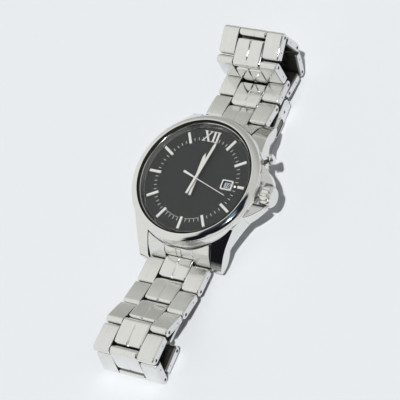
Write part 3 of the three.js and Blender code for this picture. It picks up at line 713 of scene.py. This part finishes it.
def pusher():
    looks = [mirror, painted_gap_shade]
    neck = [(0, -0.9), (0.62, -0.9), (0.62, 0.2), (1.45, 0.2)]
    base = [(1.55, 0.28), (1.55, 0.72), (1.2, 0.8)]
    cap = [(1.2, 1.05), (1.62, 1.12), (1.68, 1.25), (1.68, 1.95), (1.58, 2.2), (1.3, 2.38), (0, 2.42)]
    # painted shade: the neck and the underside of the cap take the near-black gap colour
    dark = [(0.62, -0.9), (0, -0.9), (0.62, 0.2), (1.2, 0.8), (1.2, 1.05)]
    bm = bmesh.new()
    profile = neck + base + cap
    turn(bm, profile, 64, mats=[looks.index(painted_gap_shade if p in dark else mirror) for p in profile[:-1]],
         closed=False)
    to_case = Matrix.Rotation(PUSHER_ANGLE, 4, "Z")
    moved(bm, 0, to_case @ toward_x((PUSHER_START, 0, STEM_HEIGHT)))
    piece("pusher_cap", bm, looks, "pusher", HEAD, smooth=35, replaces=["pusher"])
    bm = bmesh.new()
    turn(bm, [(1.16, 0.0), (1.75, 0.0), (1.7, 0.22), (1.5, 0.3), (1.16, 0.3)], 48)
    moved(bm, 0, to_case @ toward_x((20.85, 0, STEM_HEIGHT)))
    piece("pusher_collar", bm, [polished], "case", HEAD)


crown()
pusher()


# ------------------------------------------------------------------ end links
def end_link(tag, side):
    """End link: two wings around the first pin, and a grooved middle that makes room for a link."""
    looks = [brushed, polished, painted_gap_shade]
    at = looks.index
    y, z = END_PIN
    top = [(16.8, -1.8)] + curve((16.8, -1.8), (20.4, -3.2), (22.3, -5.9), 14)
    foot = [(18.2, -10.2), (16.8, -8.2)]
    wing = top + arc(y, z, LINK_RADIUS, 26, -80, 14) + foot
    middle = top + [(y + 0.2, z + 1.9), (y - LINK_GAP, z + 0.9), (y - LINK_GAP, z - 1.2)] + foot
    inner, half = CENTRE_HALF + SIDE_GAP, LUG_SPAN / 2 - END_GAP
    bm = bmesh.new()
    for s in (1, -1):
        stations = [(s * (inner + 0.02), 0.14), (s * (inner + 0.2), 0.0), (s * (half - 0.16), 0.0),
                    (s * (half - 0.05), 0.05), (s * half, 0.16)]
        # painted shade: the wings' end caps take the near-black gap colour
        loft_x(bm, wing, stations, cap0=at(painted_gap_shade), cap1=at(painted_gap_shade),
               mat_of=lambda k, y, z: at(brushed if k == 1 else polished))
    stations = [(-inner, 0.14), (-inner + 0.16, 0), (-0.95, 0), (-0.86, 0.16), (-0.77, 0), (0.77, 0),
                (0.86, 0.16), (0.95, 0), (inner - 0.16, 0), (inner, 0.14)]
    # painted shade: the walls of the middle's groove, its low riser and its caps take the near-black gap
    # colour
    shaded_groove = (2, 3, 5, 6)

    def middle_look(k, y, z):
        shaded_riser = y > 20 and z < -6.7
        return at(painted_gap_shade if k in shaded_groove or shaded_riser else brushed)

    loft_x(bm, middle, stations, cap0=at(painted_gap_shade), cap1=at(painted_gap_shade), mat_of=middle_look)
    flip = Matrix.Rotation(math.pi, 4, "Z") if side < 0 else Matrix.Identity(4)
    obj = piece(f"end_link_{tag}_body", bm, looks, "case", HEAD @ flip, smooth=30,
                replaces=[f"end_link_{tag}"])
    room = bmesh.new()
    reach = CASE_RADIUS + 0.35
    turn(room, [(0, -14), (reach, -14), (reach, 3), (0, 3)], 160, closed=False)
    carve(obj, room, HEAD)


end_link("12", 1)
end_link("6", -1)


# ------------------------------------------------------------------ bracelet links
def link_outline(length, corner=0.85):
    """Round at the origin, square with eased corners at the far end, with a gently arched top."""
    r = LINK_RADIUS
    out = arc(0, 0, r, 90, 270, 20)
    out += arc(length - 0.5, -r + 0.5, 0.5, -90, 0, 4)
    out += arc(length - corner, r - ARCH - corner, corner, 0, 84, 8)
    run = length - corner
    for k in range(1, 10):
        y = run * (1 - k / 10)
        out.append((y, r - ARCH * max(0.0, (y - 0.35 * run) / (0.65 * run)) ** 2))
    return out


def mirrored(outline):
    """The same outline running back from the far pin."""
    return [(PITCH - y, z) for y, z in outline]


def link_frame(near, far):
    """Placement of a link's own frame between its two pins."""
    d = far - near
    return Matrix.Translation(near) @ Matrix.Rotation(math.atan2(d.z, d.y), 4, "X")


def face_look(y, z, length, outside):
    """A link's faces get painted shade where they turn to the next piece or to the wrist."""
    if y > length - 0.12 and z < 0.3:
        return painted_gap_shade
    return painted_inner_shade if z < -LINK_RADIUS + 0.25 else outside


def link(tag, i, near, far, flip):
    """The two outer blocks of a link with their pins, and its grooved centre piece."""
    body = f"link_{tag}_{i}"
    low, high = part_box(f"{body}_outer")
    half = (high.x - low.x) / 2 / MM
    place = link_frame(near, far) @ flip
    inner = CENTRE_HALF + SIDE_GAP
    length = PITCH - LINK_GAP - 0.1
    outline = link_outline(length)
    looks = [brushed, polished, painted_gap_shade, painted_inner_shade, satin_side, painted_hole_shade]
    at = looks.index
    bevel = 0.62
    bm = bmesh.new()
    for s in (1, -1):
        stations = [(s * inner, 0.16), (s * (inner + 0.05), 0.05), (s * (inner + 0.18), 0),
                    (s * (half - bevel), 0), (s * (half - 0.42 * bevel), 0.1),
                    (s * (half - 0.12 * bevel), 0.28), (s * half, 0.5)]
        # painted shade: the blocks' inner caps, facing the centre piece, take the near-black gap colour,
        # and the pin holes are painted black inside
        loft_x(bm, mirrored(outline), stations, cap0=at(painted_gap_shade), cap1=at(satin_side),
               mat_of=lambda k, y, z: at(face_look(PITCH - y, z, length,
                                                   brushed if k == 2 else polished)),
               holes1=[(PITCH, 0, 0.5), (PRESSED_PIN, 0, 0.24)], hole_mat=at(painted_hole_shade),
               hole_depth=0.45)
    pin_radius, pin_half = 0.5, inner + 0.3
    for y in (PITCH, PRESSED_PIN):
        start = len(bm.verts)
        turn(bm, [(0, -pin_half), (pin_radius, -pin_half), (pin_radius, pin_half), (0, pin_half)], 16,
             closed=False)
        moved(bm, start, toward_x((0, y, 0)))
    piece(f"{body}_blocks", bm, looks, body, place, smooth=32,
          replaces=[f"{body}_outer"])
    bm = bmesh.new()
    h = CENTRE_HALF
    right = [(0.16, 0.16), (0.3, 0.05), (0.42, 0.02), (0.9, 0.005), (0.5 * h, 0.0),
             (h - 0.75, 0.012), (h - 0.25, 0.04), (h - 0.08, 0.12), (h, 0.26)]
    stations = [(-x, d) for x, d in reversed(right)] + [(0, 0.42)] + right
    middle = len(right)
    # painted shade: both caps of the centre piece take the near-black gap colour, and its pin holes are
    # painted black inside
    loft_x(bm, outline, stations, groove=range(middle - 2, middle + 3), cap0=at(painted_gap_shade),
           cap1=at(painted_gap_shade), mat_of=lambda k, y, z: at(face_look(y, z, length, polished)),
           holes0=[(0, 0, 0.6)], holes1=[(0, 0, 0.6)], hole_mat=at(painted_hole_shade), hole_depth=1.0)
    piece(f"{body}_middle", bm, looks, body, place, smooth=32,
          replaces=[f"{body}_centre"])


pins12 = [pin(f"hinge_12_{i}") for i in range(1, 8)] + [pin("hinge_12_clasp")]
pins6 = [pin(f"hinge_6_{i}") for i in range(1, 7)] + [pin("inner_blade_swing")]
OUTER_SIDE_UP = {"12": Matrix.Identity(4), "6": Matrix.Rotation(math.pi, 4, "Y")}
for tag, pins in (("12", pins12), ("6", pins6)):
    for i in range(len(pins) - 1):
        link(tag, i + 1, pins[i], pins[i + 1], OUTER_SIDE_UP[tag])


# ------------------------------------------------------------------ clasp cover and its buttons
COVER_LOW, COVER_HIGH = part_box("clasp_cover")
COVER_START = Vector((0, COVER_LOW.y / MM, 0))
COVER_LENGTH = (COVER_HIGH.y - COVER_LOW.y) / MM
COVER_MIDDLE_X = (COVER_HIGH.x + COVER_LOW.x) / 2 / MM
COVER_HALF = 10.4
COVER_WALL = 1.2
COVER_FLAT = 10             # flat middle of the cover's outer face
COVER_CURVE = 78            # radius of its curved ends
COVER_PLACE = Matrix.Translation(COVER_START + Vector((COVER_MIDDLE_X, 0, 0)))
BUTTON_CENTRE = (25.8, 2.85)
BUTTON_HALF = (2.9, 1.15)


def cover_rise(y):
    """Height of the cover's outer face, flat in the middle and curved up towards both ends."""
    past = max(0.0, abs(y - COVER_LENGTH / 2) - COVER_FLAT / 2)
    return COVER_CURVE - math.sqrt(COVER_CURVE ** 2 - past ** 2)


def wall_top(y):
    """Top edge of the cover's side walls, which rise to the spring bar's end."""
    t = max(0.0, min(1.0, (y - 21.1) / 8))
    return cover_rise(y) + 3.9 + 1.1 * t * t * (3 - 2 * t)


def strip(low, high, end=0.5, steps=30):
    """Closed outline between two height functions with rounded upper corners."""
    ys = [COVER_LENGTH * k / steps for k in range(steps + 1)]
    upper = []
    for y in ys[::-1]:
        past = max(0.0, end - min(y, COVER_LENGTH - y)) / end
        upper.append((y, high(y) - end * (1 - math.sqrt(max(0.0, 1 - past ** 2)))))
    return [(y, low(y)) for y in ys] + upper


def pill(grow=0.0):
    """Stadium outline of a clasp button in the cover's side view."""
    (y, z), (a, b) = BUTTON_CENTRE, BUTTON_HALF
    r = b + grow
    return arc(y + a - b, z, r, -90, 90, 14) + arc(y - a + b, z, r, 90, 270, 14)


def clasp_cover():
    """Clasp cover: a curved floor, two side walls with holes, and a rim around each button."""
    looks = [brushed, painted_hole_shade, painted_inner_shade, satin_side, polished]
    at = looks.index
    bm = bmesh.new()
    inner = COVER_HALF - COVER_WALL
    loft_x(bm, strip(cover_rise, lambda y: cover_rise(y) + 1.0, 0.3),
           [(-inner - 0.1, 0), (inner + 0.1, 0)])
    bar_y = 31.5
    holes = [(bar_y, 3.1, 0.5), (bar_y + 4.4, 4.3, 0.16), (bar_y + 4.9, 4.9, 0.16), (1.4, 2.6, 0.55)]
    # distance out of the wall and growth of the button's outline, around the rim's section
    rim = [(-0.1, 0.16), (0.42, 0.16), (0.55, 0.26), (0.5, 0.5), (0.25, 0.72), (-0.1, 0.85)]
    for s in (1, -1):
        stations = [(s * inner, 0.25), (s * (inner + 0.2), 0), (s * (COVER_HALF - 0.35), 0),
                    (s * (COVER_HALF - 0.1), 0.1), (s * COVER_HALF, 0.32)]
        # painted shade: the walls' inner faces, their holes and the bore of each button's rim are
        # painted dark
        loft_x(bm, strip(cover_rise, wall_top, 1.6), stations, holes1=holes, hole_depth=0.7,
               hole_mat=at(painted_hole_shade), cap0=at(painted_inner_shade), cap1=at(satin_side),
               mat_of=lambda k, y, z: at(satin_side if k == 3 else brushed))
        rings = [[bm.verts.new((s * (COVER_HALF + out), y, z)) for y, z in pill(grow)]
                 for out, grow in rim]
        skin(bm, rings, lambda k, i: at(painted_hole_shade if k == 0 else polished), wrap=True)
    piece("clasp_cover_shell", bm, looks, "clasp_cover", COVER_PLACE, smooth=32,
          replaces=["clasp_cover"])


def clasp_button(side, s):
    """Ribbed push button, recessed in the cover's rim."""
    looks = [painted_gap_shade, button_steel]
    rib_look = looks.index(button_steel)
    bm = bmesh.new()
    face = COVER_HALF + 0.18
    rib_pitch, rib_half = 0.62, 0.2
    (y, z), (a, b) = BUTTON_CENTRE, BUTTON_HALF
    # painted shade: the button's body, sunk in the rim, takes the near-black gap colour; only its ribs
    # are button steel
    loft_x(bm, pill(), [(s * (face - 2.0), 0), (s * (face - 0.08), 0), (s * face, 0.1)])
    for k in (-1, 0, 1):
        run = a - b + math.sqrt(b * b - (rib_pitch * k) ** 2) - 0.2
        low, high = z + rib_pitch * k - rib_half, z + rib_pitch * k + rib_half
        rib = [(y - run, low), (y + run, low), (y + run, high), (y - run, high)]
        loft_x(bm, rib, [(s * (face - 0.05), 0), (s * (face + 0.12), 0.02), (s * (face + 0.2), 0.1)],
               mat_of=lambda *_: rib_look, cap1=rib_look)
    piece(f"clasp_button_{side}_cap", bm, looks, f"clasp_button_{side}",
          COVER_PLACE, smooth=30, replaces=[f"clasp_button_{side}"])


clasp_cover()
clasp_button("right", 1)
clasp_button("left", -1)


# ------------------------------------------------------------------ carried-over CAD nodes
def dress(name, look, bevel=0.0):
    """Gives a CAD node that stays in view its procedural material and eased edges."""
    obj = frame["nodes"][name]
    obj.data.materials.clear()
    obj.data.materials.append(look)
    if bevel:
        ease(obj, bevel)


dress("case_back", brushed, 0.15)
dress("case_back_gasket", seal)
dress("movement_holder", holder)
dress("oscillating_weight", brushed)
dress("clasp_inner_blade", brushed, 0.12)
dress("clasp_middle_blade", brushed, 0.12)
dress("clasp_end_piece", polished, 0.2)
for name in ("movement_plate", "drive_coil"):
    dress(name, brass)
for name in ("power_cell", "crown_tube", "winding_stem", "pusher_spring", "lug_spring_bar_12",
             "lug_spring_bar_6", "clasp_spring_bar", "clasp_hinge_pin"):
    dress(name, polished)


# ------------------------------------------------------------------ floor, lights and camera
def floor():
    bm = bmesh.new()
    bmesh.ops.create_grid(bm, x_segments=1, y_segments=1, size=3)
    mesh = bpy.data.meshes.new("floor")
    bm.to_mesh(mesh)
    bm.free()
    obj = in_scene("floor", mesh)
    m = bpy.data.materials.new("pale_floor")
    m.use_nodes = True
    p = m.node_tree.nodes["Principled BSDF"]
    p.inputs["Base Color"].default_value = (0.80, 0.83, 0.87, 1)
    p.inputs["Roughness"].default_value = 0.7
    p.inputs["Specular IOR Level"].default_value = 0.2
    obj.data.materials.append(m)


def sky():
    """Soft studio surroundings: a pale side, a greyer back wall, and the dark shape of whoever
    leans over the table on the near side, with a few coloured glints around it."""
    world = bpy.data.worlds.new("studio")
    bpy.context.scene.world = world
    world.use_nodes = True
    nt = world.node_tree
    background = nt.nodes["Background"]
    coords = nt.nodes.new("ShaderNodeTexCoord")

    def smooth(value, x0, x1):
        """0 where a value is x0 and 1 where it is x1, smooth in between."""
        span = nt.nodes.new("ShaderNodeMapRange")
        span.interpolation_type = "SMOOTHSTEP"
        span.inputs["From Min"].default_value = x0
        span.inputs["From Max"].default_value = x1
        nt.links.new(value, span.inputs["Value"])
        return span.outputs["Result"]

    def spot(direction, inner, outer):
        """1 within inner degrees of a direction, falling to 0 at outer degrees."""
        dot = nt.nodes.new("ShaderNodeVectorMath")
        dot.operation = "DOT_PRODUCT"
        dot.inputs[1].default_value = Vector(direction).normalized()
        nt.links.new(coords.outputs["Generated"], dot.inputs[0])
        return smooth(dot.outputs["Value"], math.cos(math.radians(outer)), math.cos(math.radians(inner)))

    def mix(factor, base, color):
        m = nt.nodes.new("ShaderNodeMix")
        m.data_type = "RGBA"
        nt.links.new(factor, m.inputs["Factor"])
        if isinstance(base, tuple):
            m.inputs["A"].default_value = (*base, 1)
        else:
            nt.links.new(base, m.inputs["A"])
        m.inputs["B"].default_value = (*color, 1)
        return m.outputs["Result"]

    split = nt.nodes.new("ShaderNodeSeparateXYZ")
    nt.links.new(coords.outputs["Generated"], split.inputs["Vector"])

    x, y = split.outputs["X"], split.outputs["Y"]
    tone = mix(smooth(x, -0.15, -0.45), (0.66, 0.66, 0.65), (0.86, 0.86, 0.84))
    tone = mix(smooth(y, 0.3, 0.85), tone, (0.45, 0.45, 0.43))
    tone = mix(smooth(y, 0.9, 0.97), tone, (0.66, 0.66, 0.66))
    black = (0.010, 0.010, 0.013)
    # direction from the dial, inner and outer radius in degrees, and colour
    figure = (((0.22, -0.22, 0.95), 23, 27, (0.014, 0.020, 0.034)),
              ((-0.16, 0.05, 0.985), 9, 12, (0.020, 0.026, 0.030)),
              ((0.48, -0.42, 0.77), 22, 26, black),
              ((-0.03, -0.63, 0.77), 13, 19, black),
              ((-0.05, -0.86, 0.50), 12, 18, black),
              ((-0.08, -0.98, 0.20), 11, 17, black))
    glints = (((-0.10, -0.12, 0.985), 3, 9, (0.07, 0.08, 0.075)),
              ((0.37, -0.21, 0.905), 3, 6, (0.20, 0.34, 0.52)),
              ((0.14, -0.07, 0.99), 3, 6, (0.22, 0.36, 0.52)),
              ((-0.07, 0.04, 0.996), 2, 5, (0.20, 0.30, 0.42)),
              ((0.67, -0.23, 0.70), 2, 5, (0.32, 0.15, 0.05)),
              ((0.05, 0.22, 0.975), 2, 4, (0.5, 0.5, 0.44)),
              ((0.46, 0.12, 0.88), 2, 4, (0.30, 0.30, 0.27)))
    for direction, inner, outer, color in figure + glints:
        tone = mix(spot(HEAD.to_3x3() @ Vector(direction), inner, outer), tone, color)
    nt.links.new(tone, background.inputs["Color"])
    # the surroundings light the table less than they show in polished steel
    path = nt.nodes.new("ShaderNodeLightPath")
    level = nt.nodes.new("ShaderNodeMapRange")
    level.inputs["To Min"].default_value = 1.0
    level.inputs["To Max"].default_value = 0.41
    nt.links.new(path.outputs["Is Diffuse Ray"], level.inputs["Value"])
    nt.links.new(level.outputs["Result"], background.inputs["Strength"])


def lamp():
    data = bpy.data.lights.new("key", "SUN")
    data.energy = 2.84
    data.angle = math.radians(2.2)
    data.color = (1.0, 0.99, 0.97)
    obj = in_scene("key", data)
    obj.rotation_mode = "QUATERNION"
    obj.rotation_quaternion = Vector((0.29, -0.35, 0.89)).to_track_quat("Z", "Y")


# the camera in the head's frame
CAMERA_PLACE = Vector((296.7, -173.8, 493.6))
CAMERA_RIGHT = Vector((0.8542, 0.3437, -0.3903))
CAMERA_UP = Vector((-0.1743, 0.8963, 0.4077))


def camera():
    data = bpy.data.cameras.new("camera")
    data.sensor_width = 36
    data.lens = 180
    data.clip_start = 0.01
    obj = in_scene("camera", data)
    back = CAMERA_RIGHT.cross(CAMERA_UP).normalized()
    up = back.cross(CAMERA_RIGHT).normalized()
    turn_in_head = Matrix((CAMERA_RIGHT.normalized(), up, back)).transposed().to_4x4()
    obj.matrix_world = in_metres(HEAD @ Matrix.Translation(CAMERA_PLACE) @ turn_in_head)
    bpy.context.scene.camera = obj


floor()
sky()
lamp()
camera()
bpy.context.scene.view_settings.view_transform = "Standard"
